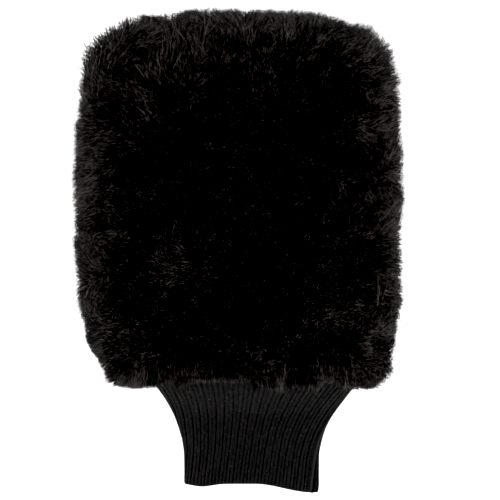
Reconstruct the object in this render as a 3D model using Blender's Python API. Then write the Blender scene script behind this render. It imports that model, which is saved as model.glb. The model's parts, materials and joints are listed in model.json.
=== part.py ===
"""A plush wash mitt with a ribbed knit cuff, lying palm side up on a flat surface.

Run it with: blender --background --python part.py
Metres. +Z is up, +Y runs from the cuff to the finger end and +X to the right. The origin is under the
middle of the whole mitt, on the surface that it lies on.

The bag is two plush panels, palm and back. Each is a knitted ground cloth that carries a deep pile. They are
sewn together round the edge, with a lining of the same shape inside. The cuff is one tube of rib knit folded
double, sewn into the bag's mouth. Its soft join is a hinge, across the mouth.
"""

import math

import bmesh
import bpy
from mathutils import Vector

MM = 0.001

# The bag's right half in plan: cubic curves from the mouth, round the shoulder and up the side to the finger
# end, each given by its last three control points. The cloth's edge seam is one line, the pile's tips another.
JOIN_Y = -80 * MM  # where the cuff is sewn to the bag, and the axis of its fold
WIDEST_Y = 45 * MM
CLOTH_START = (68, -80)
CLOTH_CURVES = (
    ((68, -77.5), (69.5, -76), (72, -76)),
    ((85, -76), (92, -69), (93, -55)),
    ((94.3, -25), (95, 15), (95, 45)),
    ((95, 134), (85, 144.5), (0, 144.5)),
)
TIPS_START = (70, -89.5)
TIPS_CURVES = (
    ((72.5, -89.3), (75, -89), (78, -88.6)),
    ((94, -86.5), (101.5, -77), (103, -55)),
    ((104.5, -25), (105.5, 15), (105.5, 45)),
    ((105.5, 140), (95, 155), (0, 155)),
)
STEPS_PER_CURVE = (2, 4, 3, 7)

# The bag in height
SEAM_Z = 20.5 * MM  # the edge seam, and the middle of the mouth
SEAM_GAP = 0.3 * MM  # between the palm half and the back half
RISE = 9.5 * MM  # from the seam to the outside of the ground cloth
MOUTH_RISE = 12.9 * MM
PALM_PILE = 12.0 * MM
BACK_PILE = 15.0 * MM  # the surface presses its tips flat
MOUTH_PILE = 8.5 * MM
BAG_ROUNDNESS = 3.0  # superellipse power of the bag's cross-section
CLOTH_MOUTH_ROUNDNESS = 14.0  # the same at the mouth, which is nearly a flat slot with round ends
TIPS_MOUTH_ROUNDNESS = 5.0

# Cloths, counted inwards from the ground cloth's outer face
CLOTH = 1.2 * MM
LAYER_GAP = 0.3 * MM
LINING_INSET = 3.9 * MM  # in plan, leaving room for the two seam threads
LINING_DROP = 1.5 * MM  # in height, and in plan at the mouth
LINING = 0.8 * MM

# The cuff
TUCK = 4.0 * MM  # how far the cuff's sewn edge goes into the mouth
CUFF_X = 8.4 * MM  # the cuff lies this far to the right of the bag's middle
SKEW_Y = -58 * MM  # the bag starts to lean over to the cuff here
CUFF_HALF_WIDTH = 43.5 * MM
CUFF_FLARE = 20.0 * MM  # how much wider each side is at the join
FLARE_END_Y = -133.4 * MM
CUFF_JOIN_HALF_HEIGHT = 7.0 * MM
CUFF_END_HALF_HEIGHT = 9.0 * MM
CUFF_WALL = 2.4 * MM  # two layers of rib knit
CUFF_END_Y = -148.6 * MM
FOLD_BULGE = 0.6 * MM  # the fold at the free edge is round
LEFT_DIP = 1.6 * MM  # the free edge isn't straight: it dips at the left
RIGHT_DROP = 5.8 * MM  # and the palm layer hangs lower at the side seam

# Sewing threads
THREAD_R = 0.4 * MM
SHELL_THREAD_INSET = 1.95 * MM
LINING_THREAD_INSET = 3.15 * MM
EDGE_THREAD_START = 6  # the station of the plan's curves, past the shoulder, where it starts
JOIN_THREAD_HALF_WIDTH = 64.6 * MM
JOIN_THREAD_HALF_HEIGHT = 9.1 * MM
JOIN_THREAD_TUCK = 3.0 * MM
SIDE_SEAM_TOP = 0.42  # how far down the cuff the side seam comes round onto the palm face
SIDE_SEAM_SHARES = (0.97, 0.87)  # of the cuff's half width, there and at the free edge

# How finely the smooth shapes are cut into faces
ACROSS = 16
ROUND_CUFF = 44
CUFF_STATIONS = 7

BLACK_PILE = (0.012, 0.011, 0.012, 1.0)
BLACK_CLOTH = (0.020, 0.019, 0.020, 1.0)
BLACK_LINING = (0.030, 0.029, 0.031, 1.0)
BLACK_KNIT = (0.018, 0.017, 0.017, 1.0)
BLACK_THREAD = (0.035, 0.033, 0.034, 1.0)


def smooth(t):
    """0 below 0, 1 above 1, and an S-shaped rise between."""
    t = min(max(t, 0.0), 1.0)
    return t * t * (3.0 - 2.0 * t)


def signed_power(value, power):
    return math.copysign(abs(value) ** power, value)


def material(name, colour, roughness):
    made = bpy.data.materials.new(name)
    made.use_nodes = True
    shader = made.node_tree.nodes["Principled BSDF"]
    shader.inputs["Base Color"].default_value = colour
    shader.inputs["Roughness"].default_value = roughness
    shader.inputs["Metallic"].default_value = 0.0
    return made


def add_object(name, data, look):
    made = bpy.data.objects.new(name, data)
    made.data.materials.append(look)
    bpy.context.scene.collection.objects.link(made)
    return made


def bag_centre(y):
    """The bag leans to the right near the mouth, because the cuff lies there."""
    return CUFF_X * smooth((SKEW_Y - y) / (SKEW_Y - JOIN_Y))


def plan_stations(start, curves):
    """[(right half's x, y, outward normal)] along the cubic curves."""
    stations = []
    first = Vector(start)
    for (second, third, last), steps in zip(curves, STEPS_PER_CURVE):
        second, third, last = Vector(second), Vector(third), Vector(last)
        for step in range(steps + (last.x == 0)):
            t = step / steps
            u = 1.0 - t
            place = u**3 * first + 3 * u * u * t * second + 3 * u * t * t * third + t**3 * last
            way = u * u * (second - first) + 2 * u * t * (third - second) + t * t * (last - third)
            stations.append((place * MM, Vector((way.y, -way.x)).normalized()))
        first = last
    return stations


class Skin:
    """One smooth surface of the bag's palm or back half, from the edge seam up or down to its crown.

    It lies inside the plan's curves by inset, or by mouth_inset at the mouth, and its crown lies rise above
    or below the seam.
    """

    def __init__(self, side, rise, mouth_rise, inset=0.0, mouth_inset=None, tips=False):
        self.side = side
        self.rise = rise
        self.mouth_rise = mouth_rise
        self.inset = inset
        self.mouth_inset = inset if mouth_inset is None else mouth_inset
        self.mouth_roundness = TIPS_MOUTH_ROUNDNESS if tips else CLOTH_MOUTH_ROUNDNESS
        curves = (TIPS_START, TIPS_CURVES) if tips else (CLOTH_START, CLOTH_CURVES)
        self.stations = plan_stations(*curves)
        self.tip_y = self.station(1.0)[1]

    def station(self, along):
        """(half width, y) at along, which runs from 0 at the mouth to 1 at the finger end."""
        walk = along * (len(self.stations) - 1)
        number = min(int(walk), len(self.stations) - 2)
        (place, normal), (next_place, next_normal) = self.stations[number : number + 2]
        share = walk - number
        inset = self.mouth_inset + (self.inset - self.mouth_inset) * smooth((along - 0.1) / 0.2)
        spot = place.lerp(next_place, share) - normal.lerp(next_normal, share).normalized() * inset
        return spot.x, spot.y

    def height(self, y):
        if y > WIDEST_Y:
            share = min((y - WIDEST_Y) / (self.tip_y - WIDEST_Y), 1.0)
            return self.rise * math.sqrt(1.0 - share**4)
        share = smooth((y - JOIN_Y) / (WIDEST_Y - JOIN_Y))
        return self.mouth_rise + (self.rise - self.mouth_rise) * share

    def point(self, across, along):
        """across runs from -1 at the left edge seam to 1 at the right one."""
        half_width, y = self.station(along)
        near_mouth = 1.0 - smooth((y - JOIN_Y) / (SKEW_Y - JOIN_Y))
        roundness = BAG_ROUNDNESS + (self.mouth_roundness - BAG_ROUNDNESS) * near_mouth
        spread = math.sin(across * math.pi / 2)
        angle = signed_power(spread, roundness / 2) * math.pi / 2
        x = bag_centre(y) + half_width * signed_power(math.sin(angle), 2 / roundness)
        z = SEAM_Z + self.side * (SEAM_GAP / 2 + self.height(y) * math.cos(angle))
        return Vector((x, y, max(z, 0.0)))


def cloth_skin(side, inset, drop, mouth_inset=None):
    return Skin(side, RISE - drop, MOUTH_RISE - drop, inset, mouth_inset)


def layer(name, outer, inner, look):
    """The closed solid between two skins: a grid laid on the inner one, extruded out to the other."""
    mesh = bmesh.new()
    bmesh.ops.create_grid(mesh, x_segments=ACROSS, y_segments=sum(STEPS_PER_CURVE), size=1.0)
    across = mesh.verts.layers.float.new("across")
    along = mesh.verts.layers.float.new("along")
    for vert in mesh.verts:
        vert[across] = vert.co.x
        vert[along] = (vert.co.y + 1.0) / 2.0
    raised = bmesh.ops.extrude_face_region(mesh, geom=mesh.faces[:])["geom"]
    raised = {item for item in raised if isinstance(item, bmesh.types.BMVert)}
    for vert in mesh.verts:
        skin = outer if vert in raised else inner
        vert.co = skin.point(vert[across], vert[along])
    bmesh.ops.remove_doubles(mesh, verts=mesh.verts, dist=0.02 * MM)
    bmesh.ops.recalc_face_normals(mesh, faces=mesh.faces)
    return finished(name, mesh, look)


def finished(name, mesh, look):
    data = bpy.data.meshes.new(name)
    mesh.to_mesh(data)
    mesh.free()
    data.shade_smooth()
    data.set_sharp_from_angle(angle=math.radians(40))
    return add_object(name, data, look)


def slot_point(share, half_width, half_height):
    """(x, z) a share of the way round a flat slot with round ends, from its right end over the top."""
    flat = 2.0 * (half_width - half_height)
    arc = math.pi * half_height
    walk = (share % 1.0) * 2.0 * (flat + arc)
    if walk < arc / 2:
        turn = walk / half_height
        return flat / 2 + half_height * math.cos(turn), half_height * math.sin(turn)
    walk -= arc / 2
    if walk < flat:
        return flat / 2 - walk, half_height
    walk -= flat
    if walk < arc:
        turn = math.pi / 2 + walk / half_height
        return -flat / 2 + half_height * math.cos(turn), half_height * math.sin(turn)
    walk -= arc
    if walk < flat:
        return -flat / 2 + walk, -half_height
    turn = -math.pi / 2 + (walk - flat) / half_height
    return flat / 2 + half_height * math.cos(turn), half_height * math.sin(turn)


def cuff_edge_y(x, up):
    """The free edge, x from the cuff's middle and up from -1 on the back layer to 1 on the palm layer."""
    dip = LEFT_DIP * math.exp(-(((x + 33 * MM) / (10 * MM)) ** 2))
    palm_share = 0.1 + 0.9 * smooth((up + 0.5) / 1.3)
    return CUFF_END_Y - dip - RIGHT_DROP * palm_share * smooth((x + 2 * MM) / (38 * MM))


def cuff_point(share, along, depth):
    """A point on the cuff, depth inside its outer face. along runs from 0 at the sewn edge to 1."""
    top = JOIN_Y + TUCK
    straight_y = top + along * (CUFF_END_Y - top)
    flare = min(max((straight_y - FLARE_END_Y) / (JOIN_Y - FLARE_END_Y), 0.0), 1.0)
    half_width = CUFF_HALF_WIDTH + CUFF_FLARE * flare**2 - depth
    fall = max((JOIN_Y - straight_y) / (JOIN_Y - CUFF_END_Y), 0.0)
    tall = CUFF_JOIN_HALF_HEIGHT + (CUFF_END_HALF_HEIGHT - CUFF_JOIN_HALF_HEIGHT) * fall
    x, z = slot_point(share, half_width, tall - depth)
    middle_z = SEAM_Z + (CUFF_END_HALF_HEIGHT - SEAM_Z) * min(fall, 1.0)
    y = top + along * (cuff_edge_y(x, z / tall) - top)
    return Vector((CUFF_X + x, y, middle_z + z))


def rib_cuff(look):
    """A folded tube: rings down its outer face, round the fold at the free edge and back up inside."""
    mesh = bmesh.new()
    down = [(step / (CUFF_STATIONS - 1), 0.0) for step in range(CUFF_STATIONS)]
    fold = [(1.0 + FOLD_BULGE / (JOIN_Y + TUCK - CUFF_END_Y), CUFF_WALL / 2)]
    up = [(along, CUFF_WALL) for along, _ in reversed(down)]
    rings = []
    for along, depth in down + fold + up:
        ring = bmesh.ops.create_circle(mesh, segments=ROUND_CUFF, radius=1.0)["verts"]
        for number, vert in enumerate(ring):
            vert.co = cuff_point(number / ROUND_CUFF, along, depth)
        rings.append(ring)
    for first, second in zip(rings, rings[1:] + rings[:1]):
        edges = {edge for vert in first + second for edge in vert.link_edges}
        edges = [edge for edge in edges if in_one_ring(edge, first) or in_one_ring(edge, second)]
        bmesh.ops.bridge_loops(mesh, edges=edges)
    bmesh.ops.recalc_face_normals(mesh, faces=mesh.faces)
    return finished("rib_cuff", mesh, look)


def in_one_ring(edge, ring):
    return edge.verts[0] in ring and edge.verts[1] in ring


def thread(name, points, radius, look, closed=False):
    """A round sewing thread through the points."""
    curve = bpy.data.curves.new(name, "CURVE")
    curve.dimensions = "3D"
    curve.bevel_depth = radius
    curve.bevel_resolution = 1
    curve.use_fill_caps = not closed
    spline = curve.splines.new("POLY")
    spline.points.add(len(points) - 1)
    for place, point in zip(spline.points, points):
        place.co = (*point, 1.0)
    spline.use_cyclic_u = closed
    return add_object(name, curve, look)


def edge_thread(name, inset, look):
    """A thread round the bag's edge seam, from one shoulder over the finger end to the other."""
    skin = cloth_skin(1, inset, 0.0)
    last = len(skin.stations) - 1
    outline = [skin.station(number / last) for number in range(EDGE_THREAD_START, last + 1)]
    right = [Vector((bag_centre(y) + half_width, y, SEAM_Z)) for half_width, y in outline]
    left = [Vector((bag_centre(y) - half_width, y, SEAM_Z)) for half_width, y in outline]
    return thread(name, right + left[-2::-1], THREAD_R, look)


def cuff_join_thread(look):
    """The seam thread that runs right round the mouth, just outside the cuff's sewn edge."""
    steps = 72
    points = []
    for step in range(steps):
        x, z = slot_point(step / steps, JOIN_THREAD_HALF_WIDTH, JOIN_THREAD_HALF_HEIGHT)
        points.append(Vector((CUFF_X + x, JOIN_Y + JOIN_THREAD_TUCK, SEAM_Z + z)))
    return thread("cuff_join_thread", points, THREAD_R, look, closed=True)


def cuff_side_seam_thread(look):
    """The thread of the cuff's one side seam, on its palm face close to the right edge."""
    steps = 10
    points = []
    for step in range(steps + 1):
        along = SIDE_SEAM_TOP + (0.99 - SIDE_SEAM_TOP) * step / steps
        near, far = SIDE_SEAM_SHARES
        share = share_at(near + (far - near) * step / steps, along)
        points.append(cuff_point(share, along, -THREAD_R - LAYER_GAP))
    return thread("cuff_side_seam_thread", points, THREAD_R, look)


def share_at(width_share, along):
    """The place round the cuff's palm side where x is width_share of its half width."""
    edge = cuff_point(0.0, along, 0.0).x - CUFF_X
    low, high = 0.0, 0.25
    for _ in range(30):
        middle = (low + high) / 2
        if cuff_point(middle, along, 0.0).x - CUFF_X > width_share * edge:
            low = middle
        else:
            high = middle
    return high


def build():
    pile = material("pile", BLACK_PILE, 0.75)
    cloth = material("ground_cloth", BLACK_CLOTH, 0.9)
    lining = material("lining", BLACK_LINING, 0.8)
    knit = material("rib_knit", BLACK_KNIT, 0.9)
    sewing = material("thread", BLACK_THREAD, 0.6)
    for name, side, depth in (("palm", 1, PALM_PILE), ("back", -1, BACK_PILE)):
        tips = Skin(side, RISE + depth, MOUTH_RISE + MOUTH_PILE, tips=True)
        layer(f"{name}_pile", tips, cloth_skin(side, -LAYER_GAP, -LAYER_GAP), pile)
        inner = cloth_skin(side, CLOTH, CLOTH)
        layer(f"{name}_ground_cloth", cloth_skin(side, 0.0, 0.0), inner, cloth)
        face = cloth_skin(side, LINING_INSET, LINING_DROP, LINING_DROP)
        depth = LINING_DROP + LINING
        reverse = cloth_skin(side, LINING_INSET + LINING, depth, depth)
        layer(f"{name}_lining", face, reverse, lining)
    edge_thread("shell_seam_thread", SHELL_THREAD_INSET, sewing)
    edge_thread("lining_seam_thread", LINING_THREAD_INSET, sewing)
    rib_cuff(knit)
    cuff_join_thread(sewing)
    cuff_side_seam_thread(sewing)


for leftover in list(bpy.data.objects):
    bpy.data.objects.remove(leftover)
build()
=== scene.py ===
# %% [markdown]
# # A plush wash mitt
# The mitt is a soft bag for the hand, covered in deep black pile, with a ribbed knit cuff. It lies flat, palm
# side up. The plain solids of the same mitt are loaded first. They give every place and size, and each soft
# piece below is made in the space that its solid holds.

import json
import math

import bmesh
import bpy
import numpy as np
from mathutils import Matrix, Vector
from mathutils.bvhtree import BVHTree
from mathutils.kdtree import KDTree


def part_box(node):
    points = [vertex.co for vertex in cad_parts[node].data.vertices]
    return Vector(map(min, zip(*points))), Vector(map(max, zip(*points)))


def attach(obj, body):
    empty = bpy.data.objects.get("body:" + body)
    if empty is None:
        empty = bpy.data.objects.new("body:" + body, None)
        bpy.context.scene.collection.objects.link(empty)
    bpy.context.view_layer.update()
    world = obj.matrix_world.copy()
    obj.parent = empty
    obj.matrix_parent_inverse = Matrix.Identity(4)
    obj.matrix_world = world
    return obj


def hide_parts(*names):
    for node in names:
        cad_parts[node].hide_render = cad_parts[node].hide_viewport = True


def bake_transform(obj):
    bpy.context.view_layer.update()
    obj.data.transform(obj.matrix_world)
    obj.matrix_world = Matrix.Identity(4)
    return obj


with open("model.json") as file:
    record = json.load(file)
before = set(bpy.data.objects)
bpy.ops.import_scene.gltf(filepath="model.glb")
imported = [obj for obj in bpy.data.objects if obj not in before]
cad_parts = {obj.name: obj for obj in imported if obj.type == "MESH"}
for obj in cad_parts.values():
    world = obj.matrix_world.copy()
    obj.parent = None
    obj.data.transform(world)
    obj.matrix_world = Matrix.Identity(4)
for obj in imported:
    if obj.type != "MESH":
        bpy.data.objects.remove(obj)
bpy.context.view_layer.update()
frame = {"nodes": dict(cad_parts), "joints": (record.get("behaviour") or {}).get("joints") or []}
MM = 0.001
JOIN = Vector(frame["joints"][0]["pos_m"])
PALM_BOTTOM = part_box("palm_pile")[0][2]
BACK_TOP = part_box("back_pile")[1][2]
CUFF_FREE_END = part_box("rib_cuff")[0][1]
SEAM_HEIGHT = (PALM_BOTTOM + BACK_TOP) / 2

# %% [markdown]
# ## Camera
# The camera looks straight down from far away through a long lens, so that the mitt shows as flat as on a
# copy stand. The view is 320 mm wide at the height of the mitt's edge.

# %% Camera
VIEW_WIDTH = 320 * MM
CAMERA_HEIGHT = 1.9
VIEW_CENTRE = (7.4 * MM, 1.0 * MM)
SENSOR_WIDTH = 36.0

camera_data = bpy.data.cameras.new("camera")
camera_data.sensor_width = SENSOR_WIDTH
camera_data.lens = SENSOR_WIDTH * (CAMERA_HEIGHT - SEAM_HEIGHT) / VIEW_WIDTH
camera = bpy.data.objects.new("camera", camera_data)
camera.location = (*VIEW_CENTRE, CAMERA_HEIGHT)
bpy.context.scene.collection.objects.link(camera)
bpy.context.scene.camera = camera
print("lens", round(camera_data.lens), "mm")

# %% [markdown]
# ## Where black begins
# In a studio view of something this dark, the deepest tones run together into pure black. The black level of
# the view's curves sets where that happens.

# %% Where black begins
BLACK_POINT = 0.006  # anything darker than this shows as pure black

film = bpy.context.scene.view_settings
film.view_transform = "Standard"
film.look = "None"
film.use_curve_mapping = True
film.curve_mapping.black_level = (BLACK_POINT, BLACK_POINT, BLACK_POINT)
film.curve_mapping.update()
print("black below", BLACK_POINT)

# %% [markdown]
# ## Floor
# The floor is plain white, and glows a little, so that it is just too bright to show shade.

# %% Floor
FLOOR_REACH = 4.0
FLOOR_GAP = 0.4 * MM  # keeps the floor clear of the lowest fibres


def plain_material(name, colour, roughness):
    """A material with one colour, for the steps below to build on."""
    made = bpy.data.materials.new(name)
    made.use_nodes = True
    shader = made.node_tree.nodes["Principled BSDF"]
    shader.inputs["Base Color"].default_value = (*colour, 1.0)
    shader.inputs["Roughness"].default_value = roughness
    return made


floor_mesh = bmesh.new()
bmesh.ops.create_grid(floor_mesh, x_segments=1, y_segments=1, size=FLOOR_REACH)
floor_data = bpy.data.meshes.new("floor")
floor_mesh.to_mesh(floor_data)
floor_mesh.free()
floor = bpy.data.objects.new("floor", floor_data)
floor.location.z = -FLOOR_GAP
white_floor = plain_material("white_floor", (0.9, 0.9, 0.9), 0.9)
glow = white_floor.node_tree.nodes["Principled BSDF"]
glow.inputs["Emission Color"].default_value = (1.0, 1.0, 1.0, 1.0)
glow.inputs["Emission Strength"].default_value = 1.0
floor_data.materials.append(white_floor)
bpy.context.scene.collection.objects.link(floor)
print("floor", 2 * FLOOR_REACH, "m wide")

# %% [markdown]
# ## Lamps
# Black pile is hard to light. Long fibres that stand up towards the camera swallow light, and only those that
# lie over at the rim throw it back. So four wide soft boxes low at the sides light the rim, and almost nothing
# comes from straight above.

# %% Lamps
SIDE_BOXES = 4
SIDE_BOX_AWAY, SIDE_BOX_HEIGHT = 1.7, 0.6
SIDE_BOX_WIDTH, SIDE_BOX_POWER = 1.0, 25.0
OVERHEAD_PLACE = (0.25, 0.35, 2.2)
OVERHEAD_WIDTH, OVERHEAD_POWER = 1.2, 1.1


def soft_box(name, place, size, power):
    """A wide square lamp at place, facing the mitt."""
    light_data = bpy.data.lights.new(name, "AREA")
    light_data.size = size
    light_data.energy = power
    light = bpy.data.objects.new(name, light_data)
    light.location = place
    light.rotation_euler = (-light.location).to_track_quat("-Z", "Y").to_euler()
    bpy.context.scene.collection.objects.link(light)
    print(name, power, "W")


soft_box("overhead_box", OVERHEAD_PLACE, OVERHEAD_WIDTH, OVERHEAD_POWER)
for number in range(SIDE_BOXES):
    turn = math.radians(45 + number * 360 / SIDE_BOXES)
    side_place = (SIDE_BOX_AWAY * math.cos(turn), SIDE_BOX_AWAY * math.sin(turn), SIDE_BOX_HEIGHT)
    soft_box(f"side_box_{number}", side_place, SIDE_BOX_WIDTH, SIDE_BOX_POWER)

# %% [markdown]
# ## The room
# Low down, the room is a pale wall all round, which carries on from the floor. Above it is a dark ceiling, so
# that the tops of the fibres stay dark. The world's Generated coordinates give the direction of each ray, and
# its height fades the one into the other.

# %% The room
WALL_TOP, CEILING_START = 0.15, 0.30  # heights of the wall's edge and the ceiling's edge, where 1 is overhead
WALL_GLOW, CEILING_GLOW = 1.0, 0.016

world = bpy.data.worlds.new("studio")
world.use_nodes = True
sky = world.node_tree
direction = sky.nodes.new("ShaderNodeTexCoord")
height = sky.nodes.new("ShaderNodeSeparateXYZ")
fading = sky.nodes.new("ShaderNodeMapRange")
fading.inputs["From Min"].default_value = WALL_TOP
fading.inputs["From Max"].default_value = CEILING_START
fading.inputs["To Min"].default_value = WALL_GLOW
fading.inputs["To Max"].default_value = CEILING_GLOW
sky.links.new(direction.outputs["Generated"], height.inputs[0])
sky.links.new(height.outputs["Z"], fading.inputs["Value"])
sky.links.new(fading.outputs["Result"], sky.nodes["Background"].inputs["Strength"])
sky.nodes["Background"].inputs["Color"].default_value = (1.0, 1.0, 1.0, 1.0)
bpy.context.scene.world = world
print("wall glows", WALL_GLOW, "and ceiling", CEILING_GLOW)

# %% [markdown]
# ## Helpers for shapes
# Nothing on a soft mitt is even, so several steps need a value that wanders slowly from place to place. A sum
# of a few sine waves in random directions gives one, and it is quick for a whole array of points. The last
# helper sets a cuff piece's placement into its mesh.

# %% Helpers for shapes
SEED = 464
rng = np.random.default_rng(SEED)


def wander(points, wavelength, waves=9):
    """A slowly changing value with a spread of about 1 at each point."""
    ways = rng.normal(size=(waves, 3))
    ways /= np.linalg.norm(ways, axis=1, keepdims=True)
    ways *= 2 * np.pi / (wavelength * rng.uniform(0.7, 1.5, size=(waves, 1)))
    starts = rng.uniform(0, 2 * np.pi, size=waves)
    return np.sin(points @ ways.T + starts).sum(axis=1) * math.sqrt(2 / waves)


def ease(t):
    """Goes smoothly from 0 to 1 as t goes from 0 to 1."""
    t = np.clip(t, 0.0, 1.0)
    return t * t * (3 - 2 * t)


def unit(vectors):
    """The same directions with a length of 1."""
    return vectors / np.maximum(np.linalg.norm(vectors, axis=1, keepdims=True), 1e-9)


def add_piece(name, data, look):
    """Puts a mesh in the scene with its finish."""
    made = bpy.data.objects.new(name, data)
    data.materials.append(look)
    bpy.context.scene.collection.objects.link(made)
    return made


def follow_cuff(piece):
    """Sets the piece's placement into its mesh."""
    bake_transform(piece)


print("random seed", SEED)

# %% [markdown]
# ## Helpers for finishes
# Every finish is a small web of shader nodes. These helpers each add one node, join it up, and return the
# socket that carries its result, so that a finish can be written like a sum.

# %% Helpers for finishes


def node(tree, kind, **settings):
    """A new node with the given settings."""
    made = tree.nodes.new(kind)
    for key, value in settings.items():
        setattr(made, key, value)
    return made


def link(tree, source, target):
    tree.links.new(source, target)


def calculate(tree, operation, first, second=None):
    """A Math node; first and second are sockets or numbers."""
    made = node(tree, "ShaderNodeMath", operation=operation)
    for socket, value in zip(made.inputs, (first, second)):
        if isinstance(value, (int, float)):
            socket.default_value = value
        elif value is not None:
            link(tree, value, socket)
    return made.outputs[0]


def colour_ramp(tree, value, stops):
    """A Color Ramp node over value with (position, colour) stops."""
    ramp = node(tree, "ShaderNodeValToRGB")
    elements = ramp.color_ramp.elements
    while len(elements) < len(stops):
        elements.new(0.5)
    for element, (position, colour) in zip(elements, stops):
        element.position = position
        element.color = (*colour, 1.0)
    link(tree, value, ramp.inputs["Fac"])
    return ramp.outputs["Color"]


def noise(tree, vector, scale, detail=2.0):
    """A Noise node over vector."""
    made = node(tree, "ShaderNodeTexNoise")
    made.inputs["Scale"].default_value = scale
    made.inputs["Detail"].default_value = detail
    link(tree, vector, made.inputs["Vector"])
    return made.outputs["Fac"]


def stretched(tree, value, low, high, to_low, to_high):
    """A Map Range node that takes low to to_low and high to to_high."""
    made = node(tree, "ShaderNodeMapRange")
    for name, number in (("From Min", low), ("From Max", high), ("To Min", to_low), ("To Max", to_high)):
        made.inputs[name].default_value = number
    link(tree, value, made.inputs["Value"])
    return made.outputs["Result"]


def attribute(tree, name):
    """The value that a mesh carries under name."""
    return node(tree, "ShaderNodeAttribute", attribute_name=name).outputs["Fac"]


def bumped(tree, shader, height, strength, distance):
    """Raises and lowers the surface by height."""
    bump = node(tree, "ShaderNodeBump")
    bump.inputs["Strength"].default_value = strength
    bump.inputs["Distance"].default_value = distance
    link(tree, height, bump.inputs["Height"])
    link(tree, bump.outputs["Normal"], shader.inputs["Normal"])


def principled(made, shine):
    """A material's main shader, with its shine set."""
    shader = made.node_tree.nodes["Principled BSDF"]
    shader.inputs["Specular IOR Level"].default_value = shine
    return shader


print("helpers for finishes are ready")

# %% [markdown]
# ## The pile's finish
# Each lock is a bundle of fine black fibres. Its colour is painted darkest at its root, as painted shade where
# little light gets in, and is a warm dark grey at its tip. Some locks are a little greyer than others, whole
# patches fade slightly with washing, and fine flecks break the locks up: partly random tone, and partly painted
# glints where single fibres catch the light. The lock's own attributes say how far up it each point is, for the
# painted shade, and how grey it is.

# %% The pile's finish
# the root colour is painted shade at the foot of each lock; the tip colour is the fibres' own warm dark grey
ROOT_PAINTED_SHADE_COLOUR, TIP_COLOUR = (0.0004, 0.0004, 0.0004), (0.0980, 0.0830, 0.0815)
# values below this take the full painted shade of the root
PAINTED_SHADE_LIMIT = 0.15  # shades below this are as dark as the root
PATCH_SCALE, SPECKLE_AND_GLINT_SCALE = 28.0, 420.0


def pile_material():
    made = plain_material("black_pile", (0.01, 0.01, 0.01), 0.30)
    tree = made.node_tree
    shader = principled(made, 0.07)
    place = node(tree, "ShaderNodeTexCoord").outputs["Object"]
    shade = calculate(tree, "MULTIPLY", attribute(tree, "up_lock"), attribute(tree, "lock_tone"))
    fade = stretched(tree, noise(tree, place, PATCH_SCALE, 3.0), 0.0, 1.0, 0.55, 1.25)
    # fine flecks: partly random tone, partly painted glints of single fibres catching the light
    speckle_and_glints = stretched(tree, noise(tree, place, SPECKLE_AND_GLINT_SCALE, 1.0), 0.36, 0.64, 0.45, 1.55)
    shade = calculate(tree, "MULTIPLY", calculate(tree, "MULTIPLY", shade, fade), speckle_and_glints)
    # the ramp paints shade at each lock's root and gives the fibres' own colour at its tip
    colour = colour_ramp(tree, shade, ((PAINTED_SHADE_LIMIT, ROOT_PAINTED_SHADE_COLOUR), (1.0, TIP_COLOUR)))
    link(tree, colour, shader.inputs["Base Color"])
    return made


black_pile = pile_material()
print(black_pile.name, "has", len(black_pile.node_tree.nodes), "nodes")

# %% [markdown]
# ## Locks and single hairs
# Plush is made of two things that matter to the eye: thin pointed locks of fibres that cling together, which
# bend over, and the fine ends of single fibres between them, which give the surface its grain. Both are
# three-sided cones. A lock has one ring between root and tip so that it can bend, and a hair has none. They are
# made with operators: a triangle is extruded once or twice, and the last ring is merged to a point. With so
# many of them, each has as few faces as it can.

# %% Locks and single hairs


def model_lock(steps):
    """The corners, their ring (0 at the root, up to steps at the tip) and the triangles of a lock."""
    mesh = bmesh.new()
    bmesh.ops.create_circle(mesh, cap_ends=True, segments=3, radius=1.0)
    rims = list(mesh.edges)
    for ring_height in range(1, steps + 1):
        raised = bmesh.ops.extrude_edge_only(mesh, edges=rims)["geom"]
        verts = [item for item in raised if isinstance(item, bmesh.types.BMVert)]
        rims = [item for item in raised if isinstance(item, bmesh.types.BMEdge)]
        for vert in verts:
            vert.co.z = ring_height
    bmesh.ops.pointmerge(mesh, verts=verts, merge_co=(0, 0, steps))
    bmesh.ops.triangulate(mesh, faces=mesh.faces)
    bmesh.ops.recalc_face_normals(mesh, faces=mesh.faces)
    mesh.verts.ensure_lookup_table()
    mesh.verts.index_update()
    corners = np.array([vert.co for vert in mesh.verts])
    triangles = np.array([[vert.index for vert in face.verts] for face in mesh.faces])
    mesh.free()
    return corners, np.rint(corners[:, 2]).astype(int), triangles


BENT_LOCK = model_lock(2)
HAIR = model_lock(1)
print("a lock has", len(BENT_LOCK[2]), "triangles and a hair has", len(HAIR[2]))

# %% [markdown]
# ## Where the pile grows
# The pile grows out of the outer face of the two ground cloths. Their solids are loose triangles with an
# inside as well, so a copy of each is merged and everything but the outer face is deleted.

# %% Where the pile grows


def growing_face(node_name, side):
    """Corner places, corner normals and triangles of a ground cloth's outer face."""
    mesh = bmesh.new()
    mesh.from_mesh(frame["nodes"][node_name].data)
    bmesh.ops.remove_doubles(mesh, verts=mesh.verts, dist=1e-6)
    mesh.normal_update()
    low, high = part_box(node_name)
    middle_y = (low[1] + high[1]) / 2
    hidden = []
    for face in mesh.faces:
        spot, way = face.calc_center_median(), face.normal
        at_mouth = max(vert.co.y for vert in face.verts) < low[1] + 0.05 * MM
        outward = way.x * spot.x + way.y * (spot.y - middle_y) * 0.5
        if at_mouth or way.z * side < -0.02 or (way.z * side < 0.03 and outward < 0):
            hidden.append(face)
    bmesh.ops.delete(mesh, geom=hidden, context="FACES")
    mesh.normal_update()
    mesh.verts.index_update()
    places = np.array([vert.co for vert in mesh.verts])
    normals = np.array([vert.normal for vert in mesh.verts])
    triangles = np.array([[vert.index for vert in face.verts] for face in mesh.faces])
    mesh.free()
    return places, normals, triangles


print("the pile grows out of the two ground cloths")

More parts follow.
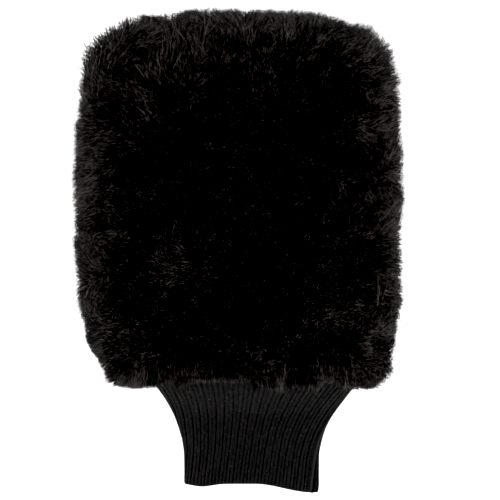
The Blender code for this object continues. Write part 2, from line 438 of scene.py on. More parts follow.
# %% [markdown]
# ## Room for the pile
# A lock may be as long as the plain solid of the pile is deep, so its length is measured with a ray from
# outside. The line of the seam round the edge tells how near the rim a place is.

# %% Room for the pile
FAR = 60 * MM
USUAL_ROOM = 11 * MM


def skin_tree(*node_names):
    """The faces of the named plain solids, for finding the nearest place on them or a hit on them."""
    corners, faces = [], []
    for node_name in node_names:
        data = frame["nodes"][node_name].data
        start = len(corners)
        corners += [vert.co.copy() for vert in data.vertices]
        faces += [[start + index for index in face.vertices] for face in data.polygons]
    return BVHTree.FromPolygons(corners, faces)


edge_seam = skin_tree("shell_seam_thread")
pile_skin = skin_tree("palm_pile", "back_pile")


def to_edge(spots):
    """Each spot's distance in from the panels' edge seam, and the level direction out to it."""
    nearest = np.array([edge_seam.find_nearest(Vector(spot))[0] for spot in spots])
    outward = nearest - spots
    outward[:, 2] = 0.0
    return np.linalg.norm(outward, axis=1), outward


def room_along(spots, ways):
    """How far each spot is from the pile solid's outer skin along its way, seen from outside."""
    room = np.full(len(spots), USUAL_ROOM)
    for number, (spot, way) in enumerate(zip(spots, ways)):
        start = Vector(spot + way * FAR)
        hit, _, _, distance = pile_skin.ray_cast(start, Vector(-way), FAR)
        if hit is not None:
            room[number] = FAR - distance
    return room


print("room is", USUAL_ROOM / MM, "mm where no skin is found")

# %% [markdown]
# ## Roots
# Roots are dropped at random. They crowd together at the rim, where the cloth turns over the seam, and at the
# mouth, where the pile hangs over the cuff.

# %% Roots
RIM_WIDTH = 15 * MM
RIM_CROWDING = 1.5
MOUTH_CROWDING = 2.5
MOUTH_ROWS_TOP = -68 * MM
MOUTH_ROWS_WIDTH = 8 * MM


def sow(face, count):
    """count random places on the face, the directions straight out of it there, and the face's area."""
    places, normals, triangles = face
    corners = places[triangles]
    sizes = np.linalg.norm(np.cross(corners[:, 1] - corners[:, 0], corners[:, 2] - corners[:, 0]), axis=1)
    inset, _ = to_edge(corners.mean(axis=1))
    crowding = sizes * (1 + RIM_CROWDING * ease(1 - inset / RIM_WIDTH))
    below_rows = MOUTH_ROWS_TOP - corners[:, :, 1].mean(axis=1)
    crowding *= 1 + MOUTH_CROWDING * ease(below_rows / MOUTH_ROWS_WIDTH)
    chosen = rng.choice(len(triangles), size=count, p=crowding / crowding.sum())
    shares = rng.dirichlet((1, 1, 1), size=count)[:, :, None]
    spots = (corners[chosen] * shares).sum(axis=1)
    ways = unit((normals[triangles[chosen]] * shares).sum(axis=1))
    return spots, ways, sizes.sum() / 2


print("roots are", 1 + RIM_CROWDING, "times as dense at the rim")

# %% [markdown]
# ## Long, short and pressed places
# The pile isn't even. It is longest at the two far corners, and worn at the two near ones. It hangs ragged
# over the cuff, and a hand has pressed it over in places, so that the sides of its locks show there.

# %% Long, short and pressed places
LEAST_HANG = 3.0  # in mm, the pile over the cuff between two tufts
PRESSED_PLACES = (
    # x and y in mm, width in mm, strength
    (-36, -12, 18, 1.1),
    (-60, 112, 26, 1.3),
    (-30, 122, 20, 0.9),
    (20, 118, 16, 0.7),
    (78, 30, 17, 1.0),
    (60, 10, 9, 0.8),
    (62, -48, 13, 1.1),
    (84, -62, 15, 0.9),
    (-72, -66, 18, 1.1),
    (10, -74, 11, 0.8),
)


def fringe_edge(x):
    """How far down the pile hangs over the cuff at x. It is ragged where the locks lie in different tufts."""
    across = x / MM
    left_tuft = 4.0 * ease((-28 - across) / 8)
    middle_tuft = 8.0 * ease((across - 6) / 6) * ease((54 - across) / 6)
    right_tuft = 5.0 * ease((across - 61) / 4)
    beside_cuff = 12.0 * ease((np.abs(across - 4) - 85) / 14)
    return JOIN.y - (LEAST_HANG + left_tuft + middle_tuft + right_tuft - beside_cuff) * MM


def fullness(x, y):
    """The pile is longer at the two far corners, which never wear, and shorter at the two near ones."""
    far_corners = 0.70 * ease((np.abs(x) - 58) / 36) * ease((y - 88) / 42)
    near_left = 0.48 * ease((-x - 70) / 22) * ease((-12 - y) / 48)
    near_right = 0.30 * ease((x - 72) / 20) * ease((-25 - y) / 35)
    return 1 + far_corners - near_left - near_right


def pressed(spots):
    """Near 1 in the places where a hand has pressed the pile over, 0 away from them."""
    total = np.zeros(len(spots))
    for x, y, width, strength in PRESSED_PLACES:
        away = np.hypot(spots[:, 0] / MM - x, spots[:, 1] / MM - y) / width
        total += strength * np.exp(-(away**2))
    return total


print(len(PRESSED_PLACES), "pressed places")

# %% [markdown]
# ## How the pile falls
# Real pile isn't combed evenly. Handling leaves broad swirls, and the fibres cling together in clumps that
# taper to a point. So every clump gets its own lean. It is a slow swirl plus a little of its own, and near the
# rim it leans out over the edge. At the very edge the two panels' clumps lean towards each other and close the
# parting over the seam, and at the mouth they lie down on the cuff.

# %% How the pile falls
CLUMP_SPACING = 4.0 * MM
SWIRLS = ((75, 0.16), (22, 0.12), (9, 0.12))  # wavelength in mm and strength
EDGE_WIDTH = 9 * MM
EDGE_CLOSING = 0.50
MOUTH_TOP, MOUTH_WIDTH = -66 * MM, 12 * MM
MOUTH_HALF_LENGTH, MOUTH_FADE = 78 * MM, 14 * MM
MOUTH_LEAN, MOUTH_SINKING = -1.15, -0.50


def find_tree(spots):
    """A tree to find the nearest of the spots with."""
    tree = KDTree(len(spots))
    for number, spot in enumerate(spots):
        tree.insert(spot, number)
    tree.balance()
    return tree


def lay_of_clumps(face, side):
    """Roots, leans, relative lengths, looseness and tones of the clumps, and a tree to find the nearest one."""
    area = sow(face, 10)[2]
    count = int(area / CLUMP_SPACING**2)
    spots, ways, _ = sow(face, count)
    inset, outward = to_edge(spots)
    outward = unit(outward + ways * (1, 1, 0) * 3 * MM)
    width = np.clip(19 + 6 * wander(spots, 30 * MM), 10, 36) * MM
    rim = ease(1 - inset / width)
    swirl = sum(
        np.stack([wander(spots, wavelength * MM) for _ in range(3)], axis=1) * strength
        for wavelength, strength in SWIRLS
    )
    over = pressed(spots) * np.clip(0.9 + 0.5 * wander(spots, 12 * MM), 0, 2) * (side > 0)
    lean = ways + swirl * (0.25 + 1.1 * rim + 0.8 * over)[:, None] + rng.normal(size=(count, 3)) * 0.08
    falling = np.clip(0.66 + 0.40 * wander(spots, 26 * MM) + 0.20 * wander(spots, 11 * MM), 0.0, 1.3)
    lean += outward * (falling * rim + 0.60 * over * (1 - 0.6 * rim))[:, None]
    lean[:, 1] += (0.10 + 0.22 * np.sign(spots[:, 0])) * rim
    lean += np.cross(outward, (0, 0, 1)) * (wander(spots, 24 * MM) * (0.50 * rim + 0.3 * over))[:, None]
    lean[:, 2] -= side * (0.10 * rim + EDGE_CLOSING * ease(1 - inset / EDGE_WIDTH))
    near_mouth = ease((MOUTH_TOP - spots[:, 1]) / MOUTH_WIDTH) * (0.9 + 0.3 * wander(spots, 25 * MM))
    near_mouth *= ease((MOUTH_HALF_LENGTH - np.abs(spots[:, 0] - JOIN.x)) / MOUTH_FADE)
    lean = unit(lean + np.outer(near_mouth, (0.0, MOUTH_LEAN, MOUTH_SINKING * side)))
    loose = 0.3 + 0.7 * np.clip(rim + over, 0, 1)
    tone = rng.uniform(0.35, 1.6, size=count) * np.clip(1 + 0.30 * wander(spots, 14 * MM), 0.3, 1.8)
    return spots, lean, 1 + 0.07 * rng.normal(size=count), loose, tone, find_tree(spots)


print("clumps are about", CLUMP_SPACING / MM, "mm apart")

# %% [markdown]
# ## Growing the locks
# Each root looks for its clump, and grows in the clump's direction with a little scatter of its own. It bends
# over towards its tip, and the tip is drawn to the clump's. Locks that hang over the cuff are shortened to the
# ragged fringe and lie on the knit, and no lock goes through the floor.

# %% Growing the locks
LENGTH_LIMITS = 6 * MM, 21 * MM
LEAST_LENGTH = 4 * MM
LENGTH_FACTOR = 1.17
BEND_HEIGHT = 0.52  # where a lock's middle ring is, as a part of its length
FRINGE_TOP = -55 * MM
FLOOR_CLEARANCE = 0.25 * MM
CUFF_RISE = 10.9 * MM  # how far the cuff's top is above the join, where the pile starts to lie on it
CUFF_SLOPE = 0.35
LIGHTEST_TONE, TONE_CONTRAST = 1.5, 2.2


def grow(face, count, side, clumps, scatter, reach, drawing):
    """Roots, middles, tips and tones of count locks. scatter: how far each lock strays from its clump's lean;
    reach: least and greatest length; drawing: how far its tip is drawn to the clump's."""
    clump_spots, clump_lean, clump_length, clump_loose, clump_tone, tree = clumps
    spots, ways, _ = sow(face, count)
    strayed = spots + rng.normal(size=(count, 3)) * 1.5 * MM
    mine = np.array([tree.find(spot)[1] for spot in strayed])
    strays = rng.normal(size=(count, 3)) * scatter * clump_loose[mine][:, None]
    lean = unit(0.30 * ways + 0.70 * clump_lean[mine] + strays)
    length = np.clip(room_along(spots, lean), *LENGTH_LIMITS)
    length *= LENGTH_FACTOR + 0.05 * wander(spots, 45 * MM) + 0.03 * wander(spots, 14 * MM)
    length *= fullness(spots[:, 0] / MM, spots[:, 1] / MM)
    length *= clump_length[mine] * rng.uniform(*reach, size=count)
    fringe = fringe_edge(spots[:, 0])
    hang = spots[:, 1] + lean[:, 1] * length - fringe - rng.uniform(-1, 2, size=count) * MM
    too_long = (hang < 0) & (spots[:, 1] < FRINGE_TOP) & (lean[:, 1] < -0.1)
    length += np.where(too_long, hang / np.maximum(-lean[:, 1], 0.1), 0.0)
    length = np.maximum(length, LEAST_LENGTH)
    tips = spots + lean * length[:, None]
    drawn = clump_spots[mine] + clump_lean[mine] * length[:, None]
    pull = (drawn - tips) * rng.uniform(0.05, drawing, size=(count, 1))
    tips += pull
    middles = spots + (0.55 * ways + 0.45 * lean) * (BEND_HEIGHT * length)[:, None] + pull * 0.25
    lowest = FLOOR_CLEARANCE + rng.uniform(0, 1.2 * MM, size=count)
    if side > 0:
        on_cuff = JOIN.z + CUFF_RISE + CUFF_SLOPE * (tips[:, 1] - JOIN.y)
        lowest = np.where(tips[:, 1] < JOIN.y, on_cuff, lowest)
    tips[:, 2] = np.maximum(tips[:, 2], lowest)
    middles[:, 2] = np.maximum(middles[:, 2], lowest + 0.5 * MM)
    tone = LIGHTEST_TONE * rng.uniform(0.05, 1.0, size=count) ** TONE_CONTRAST * clump_tone[mine]
    return spots, middles, tips, tone


print("locks are", LEAST_LENGTH / MM, "mm long or more")

# %% [markdown]
# ## Turning locks into mesh
# Every root gets a copy of the lock or of the hair. The copy's rings are centred on the root, the middle and
# the tip, and stand square across its line. All the copies of a band go into one mesh, with two attributes for
# the finish.

# %% Turning locks into mesh
LOCK_RADIUS, HAIR_RADIUS = 0.40 * MM, 0.36 * MM
# the heights feed the finish's painted shade, which is darkest at each lock's root
LOCK_WIDTHS, LOCK_HEIGHTS = (1.0, 0.85, 0.0), (0.05, 0.70, 0.85)
HAIR_WIDTHS, HAIR_HEIGHTS = (1.0, 0.0), (0.10, 0.85)


def copy_locks(locks, shape, radius):
    """Corners, triangles, heights up the lock and tones of a copy of shape on every root."""
    spots, middles, tips, tone = locks
    corners, rings, triangles = shape
    count = len(spots)
    centres, widths, heights = (spots, tips), HAIR_WIDTHS, HAIR_HEIGHTS
    if rings.max() == 2:
        centres, widths, heights = (spots, middles, tips), LOCK_WIDTHS, LOCK_HEIGHTS
    along = unit(tips - spots)
    side_way = unit(np.cross(along, rng.normal(size=(count, 3))))
    other_way = np.cross(along, side_way)
    thickness = radius * rng.uniform(0.75, 1.2, size=(count, 1))
    places = np.empty((count, len(corners), 3))
    for number, (corner, ring) in enumerate(zip(corners, rings)):
        across = side_way * corner[0] + other_way * corner[1]
        places[:, number] = centres[ring] + across * thickness * widths[ring]
    faces = triangles[None] + len(corners) * np.arange(count)[:, None, None]
    up_lock = np.tile(np.array(heights)[rings], count)
    return places.reshape(-1, 3), faces.reshape(-1, 3), up_lock, np.repeat(tone, len(corners))


def pile_piece(name, bent, hairs):
    """One mesh with all the given locks and hairs."""
    parts = (copy_locks(bent, BENT_LOCK, LOCK_RADIUS), copy_locks(hairs, HAIR, HAIR_RADIUS))
    places = np.concatenate([part[0] for part in parts])
    faces = np.concatenate([parts[0][1], parts[1][1] + len(parts[0][0])])
    data = bpy.data.meshes.new(name)
    data.vertices.add(len(places))
    data.vertices.foreach_set("co", places.astype(np.float32).ravel())
    data.loops.add(faces.size)
    data.loops.foreach_set("vertex_index", faces.astype(np.int32).ravel())
    data.polygons.add(len(faces))
    data.polygons.foreach_set("loop_start", np.arange(0, faces.size, 3, dtype=np.int32))
    data.update(calc_edges=True)
    for attribute_name, column in (("up_lock", 2), ("lock_tone", 3)):
        carried = data.attributes.new(attribute_name, "FLOAT", "POINT")
        values = np.concatenate([part[column] for part in parts])
        carried.data.foreach_set("value", values.astype(np.float32))
    data.shade_smooth()
    print(name, len(bent[0]), "locks,", len(hairs[0]), "hairs,", len(data.polygons), "triangles")
    return add_piece(name, data, black_pile)


print("locks are", 2 * LOCK_RADIUS / MM, "mm thick at the root")

# %% [markdown]
# ## The palm and back plush
# A mesh of more than two hundred thousand triangles is awkward to handle, so each side is parted into bands
# across the mitt, one piece each. All bands but the one at the mouth, which hangs over the cuff, go on the bag.

# %% The palm and back plush
MOUTH_BAND_TOP = -66 * MM
END = 1.0  # farther along than any root
LOCK_GROWTH = {"scatter": 0.15, "reach": (0.80, 1.06), "drawing": 0.42}
HAIR_GROWTH = {"scatter": 0.28, "reach": (0.72, 1.10), "drawing": 0.15}
PALM_LOCKS, PALM_HAIRS, PALM_BANDS = 80000, 60000, 6
BACK_LOCKS, BACK_HAIRS, BACK_BANDS = 34000, 30000, 3


def banded(locks, low, high):
    """The locks whose roots are between low and high along the mitt."""
    chosen = (locks[0][:, 1] >= low) & (locks[0][:, 1] < high)
    return tuple(part[chosen] for part in locks)


def make_plush(side_name, side, lock_count, hair_count, band_count):
    """The pile of one panel, in bands. side is 1 for the palm, which faces up, and -1 for the back."""
    face = growing_face(f"{side_name}_ground_cloth", side)
    clumps = lay_of_clumps(face, side)
    bent = grow(face, lock_count, side, clumps, **LOCK_GROWTH)
    hairs = grow(face, hair_count, side, clumps, **HAIR_GROWTH)
    rooted = bent[0][:, 1][bent[0][:, 1] > MOUTH_BAND_TOP]
    parts = np.arange(1, band_count) / band_count
    edges = [-END, MOUTH_BAND_TOP, *np.quantile(rooted, parts), END]
    for number, (low, high) in enumerate(zip(edges[:-1], edges[1:])):
        name = f"{side_name}_plush_{number}" if number else f"{side_name}_plush_over_cuff"
        piece = pile_piece(name, banded(bent, low, high), banded(hairs, low, high))
        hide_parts(f"{side_name}_pile")
        if number:
            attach(piece, "bag")
        else:
            follow_cuff(piece)


make_plush("palm", 1, PALM_LOCKS, PALM_HAIRS, PALM_BANDS)
make_plush("back", -1, BACK_LOCKS, BACK_HAIRS, BACK_BANDS)

# %% [markdown]
# ## The knit's finish
# Rib knit is columns of small V-shaped loops of black yarn. The tube below has its own map, once round it and
# once along its outer layer, which the finish divides into columns and rows of loops. Two slanted waves that
# meet in the middle of each column make the V. The same loops go into the colour as well: painted shade
# darkens it between the loops and down each column's edges, and their tops are painted lighter. The yarn is
# spun from fibres of slightly different greys, so noise of two sizes mottles it, and a few pale specks of lint
# sit on top.

# %% The knit's finish
COLUMNS = 80
ROWS_OF_LOOPS = 64
FIBRE_SCALE, MOTTLE_SCALE, LINT_SCALE = 1300.0, 520.0, 800.0
LINT_LIMIT = 0.785  # only the highest peaks of the noise are lint
LINT_COLOUR = (0.055, 0.047, 0.043, 1.0)


def knit_material(name, columns, rows, dark, light, depth):
    """Columns of V-shaped loops on a piece's own map, in bump and in colour, with painted shade between the
    loops.
    """
    made = plain_material(name, light, 0.85)
    tree = made.node_tree
    shader = principled(made, 0.07)
    place = node(tree, "ShaderNodeTexCoord")
    apart = node(tree, "ShaderNodeSeparateXYZ")
    link(tree, place.outputs["UV"], apart.inputs[0])
    across = calculate(tree, "MULTIPLY", apart.outputs["X"], columns)
    along = calculate(tree, "MULTIPLY", apart.outputs["Y"], rows)
    in_column = calculate(tree, "FRACT", across)
    off_middle = calculate(tree, "ABSOLUTE", calculate(tree, "SUBTRACT", in_column, 0.5))
    slanted = calculate(tree, "ADD", along, calculate(tree, "MULTIPLY", off_middle, 1.3))
    wave = calculate(tree, "SINE", calculate(tree, "MULTIPLY", slanted, 2 * math.pi))
    rounded = calculate(tree, "COSINE", calculate(tree, "MULTIPLY", off_middle, math.pi))
    rounded = calculate(tree, "MULTIPLY", rounded, 0.6)
    loops = calculate(tree, "ADD", calculate(tree, "MULTIPLY", wave, 0.22), rounded)
    fibres = noise(tree, place.outputs["Object"], FIBRE_SCALE)
    mottle = noise(tree, place.outputs["Object"], MOTTLE_SCALE)
    mixed = calculate(tree, "ADD", loops, calculate(tree, "MULTIPLY", fibres, 1.5))
    mixed = calculate(tree, "ADD", mixed, calculate(tree, "MULTIPLY", mottle, 1.9))
    lint = noise(tree, place.outputs["Object"], LINT_SCALE, 0.0)
    lint = calculate(tree, "GREATER_THAN", lint, LINT_LIMIT)
    # painted shade: the loops' relief darkens the colour between the loops and down each column's edges, and
    # lightens their tops
    shade = calculate(tree, "SUBTRACT", calculate(tree, "MULTIPLY", mixed, 0.9), 1.24)
    knit_colour_with_painted_shade = colour_ramp(tree, shade, ((0.30, dark), (1.0, light)))
    specks = node(tree, "ShaderNodeMix", data_type="RGBA")
    specks.inputs[7].default_value = LINT_COLOUR
    link(tree, lint, specks.inputs[0])
    link(tree, knit_colour_with_painted_shade, specks.inputs[6])
    link(tree, specks.outputs[2], shader.inputs["Base Color"])
    bumped(tree, shader, mixed, 0.7, depth)
    return made


# the dark end covers both the yarn's darkest greys and the painted shade between the loops
KNIT_DARK, KNIT_LIGHT = (0.0042, 0.0041, 0.0042), (0.0180, 0.0173, 0.0169)
black_rib_knit = knit_material("black_rib_knit", COLUMNS, ROWS_OF_LOOPS, KNIT_DARK, KNIT_LIGHT, 0.30 * MM)
print(black_rib_knit.name, "has", COLUMNS, "columns and", ROWS_OF_LOOPS, "rows of loops")

# %% [markdown]
# ## The cuff's outline
# The cuff is one tube of two by two rib, sewn into the mouth of the bag and folded double at its free edge. It
# is narrow at the wrist and is stretched wide where it joins the bag. It lies a little skewed: its front free
# edge hangs lower on one side, and the ribs turn slowly round it. Each of those is a short function of the
# place along the cuff, so that every row of the mesh can ask for its own outline.

# %% The cuff's outline
TUCK_Y = JOIN.y + 4 * MM
FREE_Y = CUFF_FREE_END + 7.0 * MM
WALL = 2.4 * MM
NARROWEST_Y = -133.4 * MM
NARROWEST, WIDEST = 43.5 * MM, 65.2 * MM  # half the cuff's width
FLARE = 8.9  # how fast it widens towards the bag
HALF_HEIGHT, MOUTH_SWELL = 6.5, 3.9  # in mm, half the cuff's height and what the mouth adds to it
MOUTH_SHIFT = 2.1 * MM  # how far to the right the mouth lies
FLOOR_LIFT, MOUTH_MIDDLE = 0.3 * MM, 10.7 * MM  # the mouth's middle would be this high on the floor
ROUNDNESS = 2 / 2.5  # the outline's corners: 1 is an ellipse, less is squarer
SEAM_PLACE, SEAM_PLACE_Y, SEAM_TURN = 3.0 * MM, -110 * MM, 0.125


def cuff_outline(y, inset):
    """The tube's outline at y as a table: how far round each place is, its x and z, and the way out of it."""
    half_width = NARROWEST
    if y > NARROWEST_Y:
        half_width = min(NARROWEST + FLARE * (y - NARROWEST_Y) ** 2, WIDEST)
    from_join = (JOIN.y - y) / MM
    half_height = (HALF_HEIGHT + MOUTH_SWELL * (1 - ease(from_join / 26))) * MM
    middle_x = JOIN.x + MOUTH_SHIFT * ease(1 - from_join / 40)
    middle_z = half_height + FLOOR_LIFT + (JOIN.z - MOUTH_MIDDLE) * (1 - ease(from_join / 58))
    turn = np.linspace(0, 2 * np.pi, 721)
    x = half_width * np.sign(np.cos(turn)) * np.abs(np.cos(turn)) ** ROUNDNESS
    z = half_height * np.sign(np.sin(turn)) * np.abs(np.sin(turn)) ** ROUNDNESS
    x_way, z_way = np.gradient(z), -np.gradient(x)
    size = np.hypot(x_way, z_way)
    x_way, z_way = x_way / size, z_way / size
    run = np.concatenate([[0], np.cumsum(np.hypot(np.diff(x), np.diff(z)))])
    return run, middle_x + x - x_way * inset, middle_z + z - z_way * inset, x_way, z_way


def on_outline(table, run):
    """Place (x, z) and outward direction at each distance run round the outline."""
    wrapped = np.mod(run, table[0][-1])
    return [np.interp(wrapped, table[0], column) for column in table[1:]]


def seam_run(y):
    """How far round from the outline's right end the side seam lies at y."""
    return SEAM_PLACE + (SEAM_PLACE_Y - y) * SEAM_TURN


def edge_drop(x, front):
    """How far the free edge hangs below its mean line at x. front is 1 on the front layer, 0 on the back."""
    across = (x - JOIN.x) / MM
    on_front = 0.2 + 1.8 * np.exp(-(((across + 32) / 9) ** 2)) + 5.8 * ease((across - 2) / 38)
    on_back = 0.2 + 1.0 * ease((across - 30) / 12) - 2.5 * ease((across - 40.5) / 4)
    return (front * on_front + (1 - front) * on_back) * MM


cuff_round = cuff_outline(NARROWEST_Y, 0)[0][-1]
print("cuff", round((TUCK_Y - FREE_Y) / MM, 1), "mm long,", round(cuff_round / MM), "mm round")

# %% [markdown]
# ## The rib knit tube
# The tube starts as a plain circle of corners, ten for each rib, that is extruded row by row along the outer
# layer, round the fold and back up the inner layer. Its two ends are bridged, which makes the doubled fabric
# one closed shell. Only then does every corner move to its place: out or in for the ribs, which are two columns
# of loops with a deep narrow groove on each side, and a little for each loop.

# %% The rib knit tube
RIBS = 40
RIB_CORNERS = (0.0, 0.07, 0.16, 0.28, 0.40, 0.50, 0.60, 0.72, 0.84, 0.93)
OUTER_ROWS, FOLD_ROWS, INNER_ROWS = 156, 7, 34
GROOVE_DEPTH = 1.0 * MM
VALLEY_DEPTH = 0.30 * MM
LOOP_DEPTH = 0.10 * MM
GROOVE_WIDTH, VALLEY_WIDTH = 0.075, 0.09  # as parts of a rib
GAP_DEPTH = 1.3 * MM  # the dip beside the side seam
KNIT_CLEARANCE = 0.1 * MM  # the least height above the floor


def plain_tube(round_count, row_count):
    """A unit tube of corners with row numbers for heights, its ends bridged."""
    mesh = bmesh.new()
    bmesh.ops.create_circle(mesh, segments=round_count, radius=1.0)
    rim = first_rim = list(mesh.edges)
    for row in range(1, row_count):
        raised = bmesh.ops.extrude_edge_only(mesh, edges=rim)["geom"]
        rim = [item for item in raised if isinstance(item, bmesh.types.BMEdge)]
        for item in raised:
            if isinstance(item, bmesh.types.BMVert):
                item.co.z = row
    bmesh.ops.bridge_loops(mesh, edges=first_rim + rim)
    return mesh


def rib_relief(phase, loosened):
    """How far in from the rib's top the knit lies, over one rib; loosened is 1 where the ribs spread."""
    to_groove = np.minimum(phase, 1 - phase)
    groove = np.exp(-((to_groove / GROOVE_WIDTH) ** 2)) * GROOVE_DEPTH * (1 - 0.45 * loosened)
    valley = np.exp(-(((phase - 0.5) / VALLEY_WIDTH) ** 2)) * VALLEY_DEPTH * (1 + 1.3 * loosened)
    return groove + valley


def cuff_place(part, bend, material_turn):
    """Places on the cuff's smooth skin and the ways out of it, part of the way along, bend round the fold."""
    y = TUCK_Y + (FREE_Y - TUCK_Y) * part
    table = cuff_outline(y, WALL / 2 * (1 - math.cos(bend)))
    run = seam_run(y) + material_turn * table[0][-1]
    run += 0.22 * MM * np.sin(9 * part + 84 * material_turn) * np.sin(68 * material_turn)
    x, z, x_way, z_way = on_outline(table, run)
    drop = edge_drop(x, ease(z_way * 1.6 + 0.5)) * part**1.5
    places = np.stack([x, y - drop - 0.5 * WALL * math.sin(bend), z], axis=1)
    return places, np.stack([x_way, 0 * x_way, z_way], axis=1)


print("tube of", RIBS, "ribs and", OUTER_ROWS + FOLD_ROWS + INNER_ROWS, "rows")

# %% [markdown]
# ## The cuff itself
# Every corner of the tube now moves to its place, row by row. The ribs are deepest in the middle of the cuff
# and spread where it is sewn in and at its free edge. The inner layer is half as deep. The tube's map is made
# from the same numbers, so that the loops follow the ribs.

# %% The cuff itself


def cuff_corners(round_index, row_index):
    """Places and map positions of the cuff's corners."""
    rib, corner = np.divmod(round_index, len(RIB_CORNERS))
    phase = np.array(RIB_CORNERS)[corner]
    material_turn = (rib + phase) / RIBS
    column_phase = np.abs(np.mod(2 * phase, 1.0) - 0.5)
    past_seam = np.where(material_turn > 0.5, material_turn - 1, material_turn)
    gap = np.exp(-(((past_seam + 0.013) / 0.008) ** 2)) * GAP_DEPTH
    places = np.zeros((len(round_index), 3))
    along = np.zeros(len(round_index))
    for row in range(OUTER_ROWS + FOLD_ROWS + INNER_ROWS):
        mine = row_index == row
        part, bend = 1.0, math.pi * (row - OUTER_ROWS + 1) / (FOLD_ROWS + 1)
        if row < OUTER_ROWS:
            part, bend = row / (OUTER_ROWS - 1), 0.0
        elif row >= OUTER_ROWS + FOLD_ROWS:
            part, bend = 1 - (row - OUTER_ROWS - FOLD_ROWS) / (INNER_ROWS - 1), math.pi
        skin, outward = cuff_place(part, bend, material_turn[mine])
        loosened = max(ease((part - 0.88) / 0.10), 0.8 * (1 - ease((part - 0.12) / 0.12)))
        relief = rib_relief(phase[mine], loosened) + gap[mine] * ease((part - 0.60) / 0.25)
        if bend == 0:
            loop_phase = part * ROWS_OF_LOOPS + 0.9 * column_phase[mine]
            relief += LOOP_DEPTH * np.cos(2 * np.pi * loop_phase)
        relief *= math.cos(bend) if bend < math.pi else -0.5
        places[mine] = skin - outward * relief[:, None]
        places[mine, 1] += 0.35 * relief * math.sin(bend)
        along[mine] = part if bend < math.pi else 2 - part
    places[:, 2] = np.maximum(places[:, 2], KNIT_CLEARANCE)
    return places, np.stack([material_turn, along], axis=1)


def map_faces(mesh, positions):
    """Writes positions as the mesh's own map, joining up where it closes round the tube."""
    layer = mesh.loops.layers.uv.new("UVMap")
    for face in mesh.faces:
        here = [positions[loop.vert.index] for loop in face.loops]
        wraps = max(place[0] for place in here) - min(place[0] for place in here) > 0.5
        for loop, place in zip(face.loops, here):
            loop[layer].uv = (place[0] + 1.0 if wraps and place[0] < 0.5 else place[0], place[1])


def finish_piece(name, mesh, look):
    """Makes the bmesh a smooth piece with its faces outwards."""
    bmesh.ops.recalc_face_normals(mesh, faces=mesh.faces)
    data = bpy.data.meshes.new(name)
    mesh.to_mesh(data)
    mesh.free()
    data.shade_smooth()
    return add_piece(name, data, look)


def make_cuff():
    """The whole cuff, from the plain tube."""
    round_count = RIBS * len(RIB_CORNERS)
    mesh = plain_tube(round_count, OUTER_ROWS + FOLD_ROWS + INNER_ROWS)
    mesh.verts.index_update()
    plain = np.array([vert.co for vert in mesh.verts])
    turns = np.arctan2(plain[:, 1], plain[:, 0]) / (2 * np.pi)
    round_index = np.rint(turns * round_count).astype(int) % round_count
    places, positions = cuff_corners(round_index, np.rint(plain[:, 2]).astype(int))
    for vert, place in zip(mesh.verts, places):
        vert.co = place
    map_faces(mesh, positions)
    return finish_piece("rib_knit_cuff", mesh, black_rib_knit)


rib_knit_cuff = make_cuff()
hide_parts("rib_cuff")
follow_cuff(rib_knit_cuff)
print("cuff", len(rib_knit_cuff.data.polygons), "faces")

# %% [markdown]
# ## The thread's finish
# All the seams are sewn in black polyester. It has a slight shine, and its plies turn round it, which shows as
# fine slanting bands. The bands read Object coordinates, so that the same finish fits the plain threads, which
# have no map of their own.

# %% The thread's finish
GRAIN_SCALE = 900.0


def wave_along(tree, place, way, pitch):
    """A sine wave of the given pitch, across the direction way. Returns its socket, from -1 to 1."""
    dot = node(tree, "ShaderNodeVectorMath", operation="DOT_PRODUCT")
    link(tree, place, dot.inputs[0])
    dot.inputs[1].default_value = Vector(way).normalized() * (2 * math.pi / pitch)
    return calculate(tree, "SINE", dot.outputs["Value"])


def cloth_material(name, waves, pitch, dark, light, roughness, shine, depth):
    """A fine texture of crossing waves broken up by noise, in colour and in bump."""
    made = plain_material(name, light, roughness)
    tree = made.node_tree
    shader = principled(made, shine)
    place = node(tree, "ShaderNodeTexCoord").outputs["Object"]
    total = calculate(tree, "MULTIPLY", noise(tree, place, GRAIN_SCALE), 1.4)
    for way in waves:
        wave = calculate(tree, "MULTIPLY", wave_along(tree, place, way, pitch), 0.25)
        total = calculate(tree, "ADD", total, wave)
    link(tree, colour_ramp(tree, total, ((0.2, dark), (1.1, light))), shader.inputs["Base Color"])
    bumped(tree, shader, total, 0.6, depth)
    return made


black_thread = cloth_material(
    "black_thread",
    waves=((1, 1, 0.6),),
    pitch=0.45 * MM,
    dark=(0.004, 0.004, 0.004),
    light=(0.022, 0.021, 0.021),
    roughness=0.6,
    shine=0.15,
    depth=0.08 * MM,
)
print(black_thread.name, "has", len(black_thread.node_tree.nodes), "nodes")

# %% [markdown]
# ## The cuff's side seam
# The rib is knitted flat and sewn into a tube with an overlock seam. On the outside that shows as one raised
# ridge with short slanting stitches over it, which starts at the free edge near one side and runs round to the
# back. Ridge and stitches are thin tubes, each extruded ring by ring along its path. A loose end of the thread
# hangs from the fold.

# %% The cuff's side seam
RIDGE_RADIUS = 0.62 * MM
RIDGE_LIFT = 0.10 * MM
STITCH_RADIUS = 0.17 * MM
STITCH_COUNT = 44
SEAM_TOP, SEAM_END = 0.06, 1.0
SEAM_STEPS = 90
TAIL_STEPS = 10
FLOOR_REST = 0.35 * MM  # the loose end lies on the floor at this height


